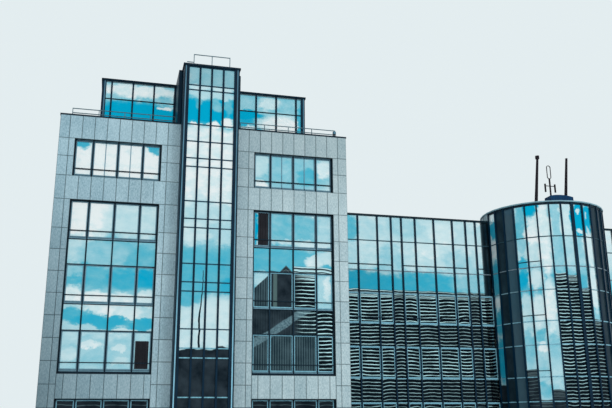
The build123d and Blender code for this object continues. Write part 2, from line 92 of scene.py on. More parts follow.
class Paint:
    """A node material round one Principled shader, put together by short calls."""

    def __init__(self, name, roughness, metallic=0, gloss=0.3):
        self.material = bpy.data.materials.new(name)
        self.material.use_nodes = True
        self.tree = self.material.node_tree
        self.shader = self.tree.nodes["Principled BSDF"]
        self.shader.inputs["Roughness"].default_value = roughness
        self.shader.inputs["Metallic"].default_value = metallic
        self.shader.inputs["Specular IOR Level"].default_value = gloss
        self.place = self.add("TexCoord").outputs["Object"]

    def add(self, kind, sockets=(), **settings):
        """A new node. Its sockets are fed in their order, or by name or number from a dictionary."""
        node = self.tree.nodes.new("ShaderNode" + kind)
        for key, value in settings.items():
            setattr(node, key, value)
        for socket, value in (sockets.items() if isinstance(sockets, dict) else enumerate(sockets)):
            self.put(value, node.inputs[socket])
        return node

    def put(self, value, socket):
        """Feed a socket with a plain value or with another node's output."""
        if isinstance(value, bpy.types.NodeSocket):
            self.tree.links.new(value, socket)
        else:
            socket.default_value = value

    def math(self, operation, *values):
        return self.add("Math", values, operation=operation).outputs[0]

    def times(self, value, *factors):
        for factor in factors:
            value = self.math("MULTIPLY", value, factor)
        return value

    def minus(self, a, b):
        return self.math("SUBTRACT", a, b)

    def scaled(self, value, factor, offset):
        """A value times a factor, plus an offset."""
        return self.math("MULTIPLY_ADD", value, factor, offset)

    def moved(self, value, noise, size):
        """A value moved up and down by noise."""
        return self.scaled(self.minus(noise, 0.5), size, value)

    def step(self, value, low, high, start=0, end=1):
        """A smooth change from start to end while the value goes from low to high."""
        sockets = (value, low, high, start, end)
        return self.add("MapRange", sockets, interpolation_type="SMOOTHSTEP").outputs["Result"]

    def split(self, vector):
        return self.add("SeparateXYZ", (vector,)).outputs

    def vector(self, operation, *values):
        node = self.add("VectorMath", values, operation=operation)
        return node.outputs["Value" if operation == "DOT_PRODUCT" else "Vector"]

    def blend(self, factor, a, b):
        """One value turning into another."""
        return self.add("Mix", {0: factor, 2: a, 3: b}).outputs[0]

    def join(self, *values):
        return self.add("CombineXYZ", values).outputs[0]

    def mark(self, name):
        """A value that the mesh carries at its points."""
        return self.add("Attribute", attribute_name=name).outputs["Vector"]

    def noise(self, scale, detail=3, rough=0.5, place=None, stretch=(1, 1, 1)):
        turn = self.add("Mapping", {"Vector": place or self.place, "Scale": stretch}).outputs[0]
        sockets = {"Vector": turn, "Scale": scale, "Detail": detail, "Roughness": rough}
        return self.add("TexNoise", sockets).outputs["Fac"]

    def mix(self, factor, a, b, blend="MIX"):
        """One colour turning into another."""
        a, b = ((*colour, 1) if isinstance(colour, tuple) else colour for colour in (a, b))
        return self.add("Mix", {0: factor, 6: a, 7: b}, data_type="RGBA", blend_type=blend).outputs[2]

    def ramp(self, value, stops):
        """A colour for each value, smooth between the given stops."""
        node = self.add("ValToRGB", (value,))
        band = node.color_ramp
        while len(band.elements) < len(stops):
            band.elements.new(1)
        for element, (position, colour) in zip(band.elements, stops):
            element.position = position
            element.color = (*colour, 1)
        return node.outputs["Color"]

    def colour(self, value):
        self.put(value, self.shader.inputs["Base Color"])

    def rough(self, value):
        self.put(value, self.shader.inputs["Roughness"])

    def bump(self, height, strength, distance):
        sockets = {"Height": height, "Strength": strength, "Distance": distance}
        self.put(self.add("Bump", sockets).outputs["Normal"], self.shader.inputs["Normal"])


# The stretch of noise in upright streaks
UPRIGHT = (1, 1, 0.1)

# Painted light and shade on the stone, in metres from the block's left edge and over the ground. A pair says
# where an effect starts and where it is full: painted shade to the left, painted light beside the tower, and
# zones of painted shade with their weight.
LEFT_SHADE = (16, -2)
TOWER_LIGHT = ((4.6, 6.2), (11.8, 6.8))
STONE_SHADES = (
    (LEFT_SHADE, (14, 0), -0.3), ((3, -0.5), (17, 10), -0.22), ((2, 13), (11, 18), -0.22),
)


def stone_light(paint):
    """Painted light and shade on the stone: its tone and its tint at each place of the walls."""
    place, _, height = paint.split(paint.place)
    along = paint.minus(place, corner.x)
    left = paint.step(along, *LEFT_SHADE)
    tone = paint.scaled(left, -0.18, 1.06)
    for run, rise, weight in STONE_SHADES:
        tone = paint.scaled(paint.times(paint.step(along, *run), paint.step(height, *rise)), weight, tone)
    beside = [paint.step(along, *run) for run in TOWER_LIGHT]
    tone = paint.scaled(paint.times(*beside), 0.26, tone)
    return tone, paint.mix(left, (1.01, 0.97, 0.945), (0.97, 1.07, 1.13))


def stone_paint():
    """Pale honed stone: a tone for each panel, fine grain, faint streaks, darker edges, painted light and
    shade.
    """
    paint = Paint("pale_stone", 0.62)
    across, up, tone = paint.split(paint.mark("panel_place"))
    wide, high, _ = paint.split(paint.mark("panel_size"))
    sides = paint.math("MINIMUM", across, paint.minus(wide, across))
    ends = paint.math("MINIMUM", up, paint.minus(high, up))
    edge = paint.step(paint.math("MINIMUM", sides, ends), 0, 0.035, 0.55, 1)
    clouded = paint.noise(1.1, 4, 0.6)
    streak = paint.noise(5, 3, 0.6, stretch=UPRIGHT)
    grain = paint.noise(16, 3, 0.75, stretch=(1, 1, 0.45))
    speck = paint.noise(70, 2, 0.7)
    value = paint.scaled(tone, 0.12, -0.15)
    for layer, weight in ((clouded, 0.22), (streak, 0.16), (grain, 0.92), (speck, 0.1)):
        value = paint.scaled(layer, weight, value)
    body = paint.ramp(value, [
        (0.3, (0.18, 0.3, 0.35)), (0.55, (0.37, 0.5, 0.55)), (0.8, (0.56, 0.69, 0.73)),
    ])
    # Painted light and shade over the walls
    for light in stone_light(paint):
        body = paint.mix(1, body, light, "MULTIPLY")
    paint.colour(paint.mix(edge, (0.07, 0.12, 0.14), body))
    paint.rough(paint.step(grain, 0.3, 0.7, 0.5, 0.72))
    paint.bump(grain, 0.25, 0.004)
    return paint.material


def joint_paint():
    """Painted shade in the gaps behind the panels and round the openings, and pale render inside the parapet.
    """
    paint = Paint("stone_joint", 0.85, gloss=0.1)
    geometry = paint.add("NewGeometry").outputs
    facing = paint.vector("MULTIPLY", geometry["Normal"], (1, 1, 0))
    outward = paint.vector("SUBTRACT", geometry["Position"], tuple(middle_of("block_roof")))
    inside = paint.step(paint.vector("DOT_PRODUCT", facing, outward), 0.01, -0.01)
    parapet = paint.step(paint.split(geometry["Position"])[2], roof_level - 0.01, roof_level + 0.01)
    dust_and_shade = paint.noise(9, 4, 0.65)
    # Painted shade: near black in the gaps and reveals, with a faint mottle
    gap = paint.ramp(dust_and_shade, [(0.3, (0.012, 0.022, 0.03)), (0.7, (0.03, 0.048, 0.06))])
    pale = paint.ramp(dust_and_shade, [(0.3, (0.24, 0.3, 0.33)), (0.7, (0.36, 0.43, 0.46))])
    paint.colour(paint.mix(paint.times(parapet, inside), gap, pale))
    paint.bump(dust_and_shade, 0.3, 0.004)
    return paint.material


def metal_paint(name, dark, light, roughness, ribs=0):
    """Coated metal with faint drift in its tone, run marks and, on some sheets, upright ribs as painted light
    and shade.
    """
    paint = Paint(name, roughness, gloss=0.15)
    drift = paint.noise(0.9, 4, 0.6)
    runs = paint.noise(7, 3, 0.6, stretch=UPRIGHT)
    value = paint.scaled(runs, 0.5, paint.times(drift, 0.5))
    # Painted light and shade of upright ribs: bands across the sheet
    wave = paint.math("SINE", paint.times(paint.split(paint.place)[0], 48))
    value = paint.scaled(wave, ribs, value)
    paint.colour(paint.ramp(value, [(0.32, dark), (0.68, light)]))
    paint.rough(paint.step(runs, 0.3, 0.7, roughness - 0.08, roughness + 0.1))
    paint.bump(paint.noise(45, 2), 0.08, 0.002)
    return paint.material


def height_paint(name, stops):
    """Coated metal or render toned by height over the ground; the pale low tone of rails and strips is
    painted light.
    """
    paint = Paint(name, 0.45, gloss=0.15)
    runs = paint.noise(7, 3, 0.6, stretch=UPRIGHT)
    level = paint.math("DIVIDE", paint.split(paint.place)[2], SKY_TOP)
    tone = paint.ramp(level, [(height / SKY_TOP, colour) for height, colour in stops])
    paint.colour(paint.mix(paint.step(runs, 0.3, 0.7, 0, 0.35), tone, (0, 0.01, 0.015)))
    paint.rough(paint.step(runs, 0.3, 0.7, 0.38, 0.55))
    paint.bump(paint.noise(45, 2), 0.08, 0.002)
    return paint.material


def roof_paint():
    """Roof felt in metre-wide sheets on top, dark coated metal at the edges."""
    paint = Paint("roof_felt", 0.8, gloss=0.1)
    sheet = paint.minus(paint.math("FRACT", paint.split(paint.place)[0]), 0.5)
    seam = paint.step(paint.math("ABSOLUTE", sheet), 0.455, 0.48)
    grit = paint.noise(30, 3, 0.7)
    value = paint.scaled(grit, 0.35, paint.times(paint.noise(0.6, 5, 0.65), 0.65))
    felt = paint.ramp(value, [(0.3, (0.045, 0.06, 0.068)), (0.7, (0.13, 0.155, 0.165))])
    felt = paint.mix(paint.times(seam, 0.7), felt, (0.02, 0.028, 0.033))
    upward = paint.split(paint.add("NewGeometry").outputs["Normal"])[2]
    paint.colour(paint.mix(paint.step(upward, 0.4, 0.6), (0.004, 0.016, 0.028), felt))
    paint.bump(grit, 0.3, 0.004)
    return paint.material


def concrete_paint(name, dark, light):
    paint = Paint(name, 0.8)
    patch = paint.noise(0.7, 5, 0.65)
    grain = paint.noise(35, 2, 0.7)
    value = paint.scaled(grain, 0.3, paint.times(patch, 0.7))
    paint.colour(paint.ramp(value, [(0.3, dark), (0.7, light)]))
    paint.bump(grain, 0.3, 0.004)
    return paint.material


# How white the painted reflection of the sky is at each height over the ground, from 0 blue to 1 white
SKY_TOP = 22
SKY_ROWS = (
    (0, 0.7), (5, 0.68), (6.4, 0.74), (7.4, 0.8), (8.3, 0.6), (9.2, 0.36), (10.6, 0.38), (11.6, 0.62),
    (12.6, 0.84), (14, 0.92), (17.6, 0.95), (18.3, 0.1), (19.5, 0.12), (20.2, 0.62), (21.6, 0.5),
)
DRUM_START = 39

# Clouds and clear patches in the painted reflection of the sky: place along the front from the block's left
# edge, height, half width, half height and whiteness. The drum's sides follow each other from DRUM_START, one
# unit each.
CLOUDS = (
    # Left windows
    (3.2, 16, 3.4, 1.6, 1), (1.2, 16.8, 0.6, 0.4, 0.3), (5.2, 16.8, 0.5, 0.4, 0.3),
    (1.6, 12.6, 1.8, 1.6, 1), (4.5, 12.6, 2, 1.4, 0.82), (1.2, 10.6, 1, 0.9, 0.76),
    (3, 10.5, 1.7, 0.9, 0.58), (5, 10.2, 1, 0.8, 0.44), (1.2, 9.6, 0.9, 0.5, 0.6),
    (2.8, 9.4, 1.1, 0.6, 0.42), (3.8, 9.1, 1, 0.6, 0.3), (5.2, 9.3, 0.8, 0.6, 0.1),
    (1.3, 8.3, 0.9, 0.55, 0.95), (2.6, 8.1, 1.1, 0.5, 1), (4, 8.1, 1, 0.45, 0.95),
    (5.2, 8.2, 0.8, 0.5, 0.9), (1.5, 7.2, 1.1, 0.5, 0.36), (3, 6.95, 1.7, 0.4, 0.24),
    (5, 6.8, 0.9, 0.4, 0.26), (3, 7.6, 0.9, 0.3, 0.95), (4.4, 7.45, 0.8, 0.35, 0.92),
    (4, 6.45, 0.9, 0.22, 0.85), (3.2, 5.3, 2.6, 0.9, 0.64), (2.5, 5.75, 0.7, 0.2, 0.92),
    (3.9, 5.6, 0.5, 0.2, 0.86), (1.3, 5.2, 0.6, 0.4, 0.82), (4, 4.9, 0.6, 0.3, 0.8),
    # Tower
    (8.2, 21.1, 2.6, 0.75, 0.62), (8.3, 20.28, 2.4, 0.22, 0.82), (8, 19.85, 2.4, 0.35, 0.74),
    (8.2, 18.9, 2.6, 0.8, 0), (7.5, 19.35, 0.3, 0.45, 0.55), (8.5, 19.3, 0.35, 0.5, 0.5),
    (9.2, 19.2, 0.3, 0.6, 0.42), (7.4, 18.08, 0.35, 0.2, 1), (8.3, 18.1, 0.4, 0.25, 1),
    (9.2, 18.3, 0.5, 0.4, 1), (8.2, 15.8, 2.8, 2.3, 0.96), (8.2, 12.8, 2.6, 0.75, 0.78),
    (7.4, 11.7, 1.2, 0.8, 0.86), (9.2, 11.6, 0.9, 0.7, 0.74), (8.3, 9.5, 2.8, 1.4, 0.38),
    (9.6, 8.9, 0.7, 0.6, 0.22), (7.2, 8.1, 0.9, 0.5, 0.4), (8.9, 7.3, 1.4, 1.2, 0.88),
    (7.3, 6.8, 1.2, 0.9, 0.84), (8.2, 6, 2.2, 0.7, 0.86),
    # Right windows
    (13.3, 16, 3.4, 1.6, 0.56), (11.4, 16.3, 0.6, 0.8, 0.78), (14.2, 15.7, 0.9, 0.6, 0.4),
    (15.2, 16.2, 0.6, 0.7, 0.92), (11.4, 15.1, 0.6, 0.25, 0.95), (13, 12.6, 3.4, 1.2, 0.5),
    (15.2, 12.4, 0.7, 1.1, 0.72), (13.6, 11.6, 2.8, 0.3, 0.84), (12.4, 10.8, 2.4, 0.9, 0.4),
    (14.6, 10.6, 0.9, 0.4, 0.9), (15.3, 10.9, 0.6, 0.5, 0.82), (11.4, 9.5, 0.7, 0.6, 0.72),
    (15.1, 8.9, 0.7, 1.3, 0.7), (15.3, 9.1, 0.3, 0.9, 0.9), (11.05, 12.6, 0.3, 1.4, -0.1),
    # Set-back top storey
    (4.2, 21, 3.2, 0.5, 0.95), (4.2, 19.3, 3.6, 1.2, 0), (5.9, 20.05, 0.55, 0.16, 0.95),
    (10.6, 20.9, 0.8, 0.5, 0.6), (12.3, 20.95, 1, 0.5, 0.84), (13.7, 20.8, 0.9, 0.6, 0.58),
    (10.7, 20.1, 1.3, 0.4, 0), (13, 19.5, 1.9, 0.9, 0.98), (10.9, 19.2, 0.6, 0.35, 0.85),
    (14.3, 19.8, 0.35, 1.3, 0.3),
    # Wing
    (23, 14.3, 8, 1.3, 0.79), (18.3, 14.3, 0.9, 1.3, 0.42), (20, 14.1, 1.1, 0.9, 0.76),
    (22.4, 14.4, 1.6, 0.9, 0.68), (25, 14.1, 1.2, 0.9, 0.9), (23, 12.3, 8, 1.1, 0.8),
    (18.3, 12.3, 0.9, 1.1, 0.74), (21.2, 12, 1.1, 1.4, 0.64), (24, 12.9, 1.2, 0.6, 0.9),
    (26.2, 12, 1.4, 1.2, 0.7), (19.4, 10.6, 3.2, 0.85, 0.22), (23.8, 10.6, 2.8, 0.8, 0.3),
    (27.6, 10.7, 2.4, 0.8, 0.58),
    # Drum
    (39.5, 15.5, 0.8, 0.4, 0.95), (39.5, 14.4, 0.8, 0.8, 0.2), (39.5, 13.1, 0.8, 0.8, 1),
    (39.5, 11.2, 0.8, 1.2, 0.3), (39.5, 9.4, 0.8, 0.6, 1), (39.5, 8, 0.8, 0.9, 0.3),
    (39.5, 5.6, 0.8, 1.6, 0.15),
    (42.5, 14.2, 0.8, 2, 0.46), (43.5, 15.6, 0.7, 1, -0.1), (43.5, 13.5, 0.8, 0.9, 0.97),
    (44.5, 14.3, 0.7, 2.4, 0.92), (45.5, 14.3, 0.7, 2.2, 0.6), (46.5, 14.3, 0.7, 2.2, 0.86),
    (47.5, 14.6, 0.7, 1.6, -0.05), (48.5, 14.7, 0.7, 1.3, -0.05), (47.55, 15.1, 0.24, 0.24, 0.88),
    (47.6, 13.75, 0.5, 0.28, 0.9), (48.4, 14.9, 0.16, 0.35, 0.7), (48.5, 13.9, 0.2, 0.28, 0.7),
    (47.5, 12.6, 0.7, 0.8, 0.6), (48.5, 12.6, 0.7, 1.4, 0.9),
    (42.5, 12.9, 0.7, 0.6, 0.6), (42.5, 11.7, 0.7, 0.5, 0.25), (43.5, 12.3, 0.7, 0.9, 0.82),
    (44.5, 12, 0.7, 1.4, 0.95), (45.5, 12.2, 0.7, 1.4, 0.58), (46.5, 12.2, 0.7, 1.4, 0.72),
    (42.4, 10.7, 0.7, 0.7, 0.08), (43.5, 10.6, 0.7, 0.8, 0.88), (42.5, 8.9, 0.7, 1, 0.78),
    (43.5, 8.7, 0.7, 1.2, 0.9), (44.5, 9, 0.7, 2, 0.94), (42.5, 6.3, 0.7, 1.3, 0.54),
    (43.5, 6.9, 0.7, 0.5, 0.46), (43.5, 6.2, 0.7, 0.35, 0.95), (43.5, 4.9, 0.7, 0.8, 0.64),
    (44.5, 6.3, 0.7, 1, 0.58), (44.5, 4.6, 0.7, 0.8, 0.74), (43.5, 3.6, 0.7, 0.6, 0.5),
    (48.5, 10, 0.7, 1.8, 0.92), (50, 12, 1, 4, 0.3),
)

# Gables on the roof line opposite in the painted reflection, as place, half width and rise, and a slanting
# light beam below it
GABLES = ((12.89, 0.36, 0.4), (9.2, 0.55, 0.2), (7.5, 0.3, 0.1))
BEAM_START = (10.9, 5.8)
BEAM_END = (14.1, 7.85)
BEAM_HALF = 0.24

# A thin pole in the tower's painted reflection, with the heights between which it leans over
POLE_PLACE = 7.93
POLE_FOOT = 5.5
POLE_TOP = 9.65
POLE_LEAN = (6.6, 9.6)

# In the painted reflection: the pitch of the blinds opposite, and waves of curtains and of the roof's light
# line in radians a metre
BLIND_PITCH = 0.218
FOLD_WAVES = 46
ROOF_WAVES = 36


class Mirror(Paint):
    """Mirror glass with a painted reflection of the sky and the building opposite, each pane a little out of
    true.
    """

    def __init__(self, name, metallic):
        super().__init__(name, 0.04, metallic, 0.03)
        self.height = self.split(self.place)[2]
        self.along, roof_line, gloom = self.split(self.mark("wall_place"))
        self.across, self.seed, self.stripes = self.split(self.mark("pane_look"))
        self.curtain, self.glow, dusk = self.split(self.mark("pane_room"))
        spot = self.join(self.along, self.height, self.times(self.seed, 9))
        self.wave = self.noise(1.5, 2, 0.5, place=spot)
        self.patch = self.noise(1.1, 4, 0.6, place=self.join(self.along, self.height, self.seed))
        self.seen = self.math("ADD", self.height, self.lift())
        below = self.minus(self.roof_edge(roof_line), self.seen)
        # The dusk darkens the painted reflection of the sky
        sky = self.mix(dusk, self.sky(), (0, 0.02, 0.03))
        picture = self.mix(self.step(below, -0.03, 0.04), sky, self.opposite(below))
        picture = self.mix(self.pole(), picture, (0.01, 0.02, 0.03))
        self.colour(self.mix(self.step(gloom, 0.1, 0.3), picture, self.shaded_wall(gloom)))
        self.bump(self.wave, 0.04, 0.02)

    def lift(self):
        """How far a pane's bulge, tilt and waves move its painted reflection."""
        middle = self.minus(self.across, 0.5)
        bulge = self.times(middle, middle, 0.45)
        turn = self.math("FRACT", self.times(self.seed, 7.31))
        lift = self.times(self.minus(self.seed, 0.45), bulge)
        lift = self.scaled(middle, self.scaled(turn, 0.12, -0.06), lift)
        return self.moved(lift, self.wave, 0.14)

    def cover(self):
        """How white the painted reflection of the sky is at each place, with torn cloud edges."""
        drift = self.join(self.along, self.times(self.seen, 1.5), self.times(self.seed, 0.3))
        torn = self.noise(1.6, 6, 0.62, place=drift)
        broad = self.noise(0.45, 4, 0.55, place=drift)
        sway = self.noise(1.1, 5, 0.6, place=self.vector("ADD", drift, (7.3, 2.1, 4.7)))
        spot = self.join(self.moved(self.along, sway, 1.1), self.moved(self.seen, torn, 0.9), 0)
        level = self.math("DIVIDE", self.moved(self.seen, broad, 2), SKY_TOP)
        rows = [(place / SKY_TOP, (white, white, white)) for place, white in SKY_ROWS]
        cover = self.split(self.ramp(level, rows))[0]
        for place, rise, wide, high, white in CLOUDS:
            middle = (-place / wide, -rise / high, 0)
            away = self.vector("MULTIPLY_ADD", spot, (1 / wide, 1 / high, 0), middle)
            reach = self.step(self.vector("DOT_PRODUCT", away, away), 1.1, 0.3)
            cover = self.blend(reach, cover, white)
        return self.moved(cover, torn, 0.38)

    def sky(self):
        # The painted reflection of the sky, from blue to white
        return self.ramp(self.cover(), [
            (0.05, (0, 0.43, 0.67)), (0.28, (0.05, 0.48, 0.66)), (0.45, (0.15, 0.55, 0.68)),
            (0.62, (0.36, 0.68, 0.77)), (0.78, (0.57, 0.8, 0.85)), (0.92, (0.76, 0.9, 0.92)),
            (1, (0.97, 0.98, 0.97)),
        ])

    def roof_edge(self, edge):
        """The roof line opposite in the painted reflection, with its gables."""
        for place, half, rise in GABLES:
            share = self.math("DIVIDE", self.math("ABSOLUTE", self.minus(self.along, place)), half)
            edge = self.scaled(self.math("MAXIMUM", self.minus(1, share), 0), rise, edge)
        return edge

    def blinds(self):
        """The painted reflection of the light blinds opposite, weaker low down and in patches."""
        row = self.math("FRACT", self.math("DIVIDE", self.seen, BLIND_PITCH))
        end = self.step(self.minus(row, self.scaled(self.stripes, 0.07, 0.19)), 0.06, 0)
        return self.times(
            self.step(row, 0.02, 0.08), end, self.step(self.stripes, 0, 0.5),
            self.step(self.patch, 0.36, 0.56, 0.46, 1), self.step(self.height, 1, 5.6, 0.3, 1),
        )

    def beam(self):
        """The painted reflection of the slanting light beam."""
        run = (BEAM_END[0] - BEAM_START[0], BEAM_END[1] - BEAM_START[1])
        size = math.hypot(*run)
        side = self.times(self.minus(self.along, BEAM_START[0]), -run[1] / size)
        side = self.scaled(self.minus(self.seen, BEAM_START[1]), run[0] / size, side)
        beam = self.step(self.math("ABSOLUTE", side), BEAM_HALF, BEAM_HALF * 0.7)
        return self.times(beam, self.glow, 0.8)

    def opposite(self, below):
        """The painted reflection of the dark building opposite: curtains, the beam, blinds and a wavy light
        line under its roof.
        """
        wall = self.ramp(self.patch, [(0.35, (0.008, 0.015, 0.022)), (0.7, (0.036, 0.052, 0.066))])
        wall = self.mix(self.step(self.stripes, 0, 0.3, 0, 0.9), wall, (0.002, 0.005, 0.009))
        folds = self.math("SINE", self.times(self.along, FOLD_WAVES))
        folds = self.scaled(folds, 0.36, self.times(self.patch, 1.1))
        cloth = self.ramp(folds, [(0.2, (0.012, 0.03, 0.042)), (0.9, (0.08, 0.135, 0.155))])
        wall = self.mix(self.curtain, wall, cloth)
        crumpled = self.noise(9, 4, 0.8, place=self.join(self.along, self.seen, 0))
        light = self.ramp(crumpled, [(0.35, (0.05, 0.11, 0.14)), (0.65, (0.24, 0.38, 0.43))])
        wall = self.mix(self.beam(), wall, light)
        sides = self.times(self.step(self.across, 0.12, 0.16), self.step(self.across, 0.34, 0.28))
        hanging = self.times(sides, self.step(self.glow, -0.2, -0.8))
        wall = self.mix(hanging, wall, (0.1, 0.16, 0.16))
        wall = self.mix(self.blinds(), wall, (0.62, 0.97, 1))
        band = self.scaled(self.math("SINE", self.times(below, ROOF_WAVES)), 0.5, 0.4)
        gutter = self.times(self.step(below, 0, 0.04), self.step(below, 0.48, 0.4), band, self.stripes)
        return self.mix(gutter, wall, (0.64, 0.9, 0.95))

    def pole(self):
        """The painted reflection of the thin pole, which gets thinner upwards and sways with the glass."""
        sway = self.scaled(self.wave, 0.16, POLE_PLACE - 0.08)
        lean = self.times(self.step(self.height, *POLE_LEAN), 0.14)
        gap = self.math("ABSOLUTE", self.minus(self.along, self.math("ADD", sway, lean)))
        thin = self.step(self.height, POLE_FOOT, POLE_TOP, 0.055, 0.02)
        under = self.math("LESS_THAN", self.height, POLE_TOP)
        over = self.math("GREATER_THAN", self.height, POLE_FOOT)
        return self.times(self.math("LESS_THAN", gap, thin), under, over)

    def shaded_wall(self, gloom):
        """The painted reflection of a wall in shade, lighter where its gloom is weak."""
        dull = self.ramp(self.patch, [(0.3, (0.01, 0.025, 0.038)), (0.75, (0.03, 0.055, 0.07))])
        weak = self.times(self.step(gloom, 0.6, 0), self.step(gloom, 0, 0.3))
        return self.mix(weak, dull, (0.075, 0.15, 0.2))


def middle_of(name):
    low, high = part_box(name)
    return (low + high) / 2


def show(name, data):
    """A new object in the scene."""
    thing = bpy.data.objects.new(name, data)
    bpy.context.scene.collection.objects.link(thing)
    return thing


stone = stone_paint()
joint = joint_paint()
# Mirror glass with real reflections and a painted reflection in its colour; the side copy mirrors less, so
# its painted reflection shows more on the drum's sides in shade
glass = Mirror("mirror_glass", 0.72).material
side_glass = Mirror("side_mirror_glass", 0.25).material
dark_metal = metal_paint("dark_frame", (0.002, 0.009, 0.018), (0.006, 0.024, 0.042), 0.45)
navy_metal = metal_paint("navy_post", (0, 0.01, 0.025), (0.001, 0.024, 0.052), 0.42)
# Rails and light strips pale low down and dark higher up: painted light
tower_rail = height_paint("tower_rail", (
    (5.6, (0.24, 0.54, 0.66)), (6.2, (0.02, 0.07, 0.11)), (20, (0.01, 0.05, 0.09)),
))
wing_rail = height_paint("wing_rail", (
    (8, (0.26, 0.54, 0.66)), (9.6, (0.22, 0.42, 0.5)), (11, (0.24, 0.31, 0.36)),
    (11.6, (0.2, 0.27, 0.32)), (13, (0.03, 0.08, 0.11)), (15, (0.006, 0.02, 0.03)),
))
# One sash finish in two tones: the pale blue of the lower sashes is painted light, grey higher up
sash_blue = metal_paint("sash_blue", (0.14, 0.36, 0.47), (0.27, 0.54, 0.65), 0.4)
sash_grey = metal_paint("sash_grey", (0.1, 0.21, 0.28), (0.19, 0.34, 0.42), 0.4)
light_strip = height_paint("light_strip", (
    (5.5, (0.32, 0.66, 0.84)), (8.5, (0.2, 0.46, 0.6)), (12, (0.13, 0.3, 0.41)),
    (19, (0.1, 0.23, 0.32)),
))
attic_rail = height_paint("attic_rail", ((20.9, (0.006, 0.02, 0.03)), (21.1, (0.22, 0.36, 0.42))))
light_edge = metal_paint("light_roof_edge", (0.15, 0.27, 0.32), (0.26, 0.42, 0.48), 0.45)
side_sheet = metal_paint("dark_side_sheet", (0.001, 0.016, 0.036), (0.004, 0.034, 0.062), 0.45)
mast_steel = metal_paint("mast_steel", (0.004, 0.003, 0.006), (0.016, 0.01, 0.016), 0.5)
rail_steel = metal_paint("rail_steel", (0.05, 0.11, 0.14), (0.12, 0.2, 0.24), 0.45)
# The blue box's ribs are painted light and shade
blue_box = metal_paint("blue_box", (0, 0.018, 0.06), (0.002, 0.05, 0.13), 0.5, 0.12)
roof_felt = roof_paint()
concrete = concrete_paint("concrete", (0.2, 0.22, 0.22), (0.38, 0.4, 0.4))
render_coat = concrete_paint("render_coat", (0.3, 0.42, 0.47), (0.48, 0.6, 0.64))
room_dark = metal_paint("room_dark", (0.004, 0.005, 0.008), (0.03, 0.028, 0.034), 0.6)
drum_back = height_paint("drum_back", (
    (15.05, (0.002, 0.008, 0.014)), (15.25, (0.3, 0.42, 0.47)),
))

# The finish of the nodes whose names end so, where a later row goes over an earlier one
FINISH = (
    (joint, ("_wall_piers", "_wall_bands")),
    (dark_metal, ("_window_frames", "block_coping", "tower_cap")),
    (navy_metal, ("_posts",)),
    (light_strip, ("tower_corner_posts",)),
    (attic_rail, ("attic_rails",)),
    (tower_rail, ("tower_rails",)),
    (wing_rail, ("wing_front_rails", "wing_rear_rails", "rotunda_rails")),
    (rail_steel, ("guard_rails", "guard_rail")),
    (side_sheet, ("tower_side_walls", "shaft_walls")),
    (light_edge, ("rotunda_roof",)),
    (render_coat, ("wing_roof_upstand",)),
    (drum_back, ("rotunda_rear_wall",)),
    (mast_steel, ("masts",)),
    (blue_box, ("plant_box",)),
    (concrete, ("_floors", "tower_landings", "wing_columns")),
    (roof_felt, ("block_roof", "wing_roof", "attic_roof")),
)
for material, ends in FINISH:
    for name, node in nodes.items():
        if name.endswith(ends):
            node.data.materials.clear()
            node.data.materials.append(material)


class Wall:
    """The directions of one straight wall: along it, into the building and up."""

    def __init__(self, outward, start=0):
        self.start = start
        self.outward = Vector(outward).normalized()
        self.along = Vector((-self.outward.y, self.outward.x, 0))

    def point(self, along, depth, height):
        place = self.along * along - self.outward * depth
        return (place.x, place.y, height)

    def spans(self, points):
        """Lowest and highest place of some points along the wall, into it and up."""
        runs = zip(*((p.dot(self.along), -p.dot(self.outward), p.z) for p in points))
        return [(min(run), max(run)) for run in runs]


# The other walls start far from the front, so that no painted cloud falls on them
FRONT = Wall((0, -1, 0), corner.x)
REAR = Wall((0, 1, 0), -100)
LEFT = Wall((-1, 0, 0), -200)
RIGHT = Wall((1, 0, 0), -300)


def solids(name):
    """The corner points of each loose solid of a CAD node."""
    mesh = nodes[name].data
    places = [tuple(round(value, 4) for value in vertex.co) for vertex in mesh.vertices]
    group = {place: place for place in places}

    def root(place):
        while group[place] != place:
            group[place] = group[group[place]]
            place = group[place]
        return place

    for face in mesh.polygons:
        first = root(places[face.vertices[0]])
        for index in face.vertices[1:]:
            group[root(places[index])] = first
    found = {}
    for place in sorted(group):
        found.setdefault(root(place), []).append(Vector(place))
    return list(found.values())


def wall_of(points, middle):
    """The wall that a sheet or a bar belongs to, seen from the middle of its building."""
    size = [max(p[i] for p in points) - min(p[i] for p in points) for i in (0, 1)]
    centre = sum(points, Vector()) / len(points)
    if size[1] < size[0]:
        return FRONT if centre.y < middle.y else REAR
    return LEFT if centre.x < middle.x else RIGHT


class Shape:
    """A mesh put together from plain boxes in the frames of walls, with values at its points."""

    def __init__(self):
        self.points = []
        self.faces = []
        self.marks = {}

    def box(self, wall, along, depth, height, **marks):
        first = len(self.points)
        for z in height:
            for d in depth:
                for a in along:
                    self.points.append(wall.point(a, d, z))
        for face in ((0, 1, 5, 4), (1, 3, 7, 5), (3, 2, 6, 7), (2, 0, 4, 6), (4, 5, 7, 6), (2, 3, 1, 0)):
            self.faces.append([first + index for index in face])
        for name, values in marks.items():
            self.marks.setdefault(name, []).extend(values if len(values) == 8 else values * 8)

    def piece(self, name, material, slot, *replaced):
        mesh = bpy.data.meshes.new(name)
        mesh.from_pydata(self.points, [], self.faces)
        for mark, values in self.marks.items():
            layer = mesh.attributes.new(mark, "FLOAT_VECTOR", "POINT")
            layer.data.foreach_set("vector", [number for value in values for number in value])
        mesh.materials.append(material)
        thing = show(name, mesh)
        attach(thing, "root")
        if replaced:
            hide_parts(*replaced)


def inner_spans(edges, bars):
    """The clear spans between bars, from one end of a run to the other."""
    low = edges[0]
    clear = []
    for start, end in [*sorted(bars), both(edges[1])]:
        if start - low > PANE_LAP:
            clear.append((low, start))
        low = max(low, end)
    return clear


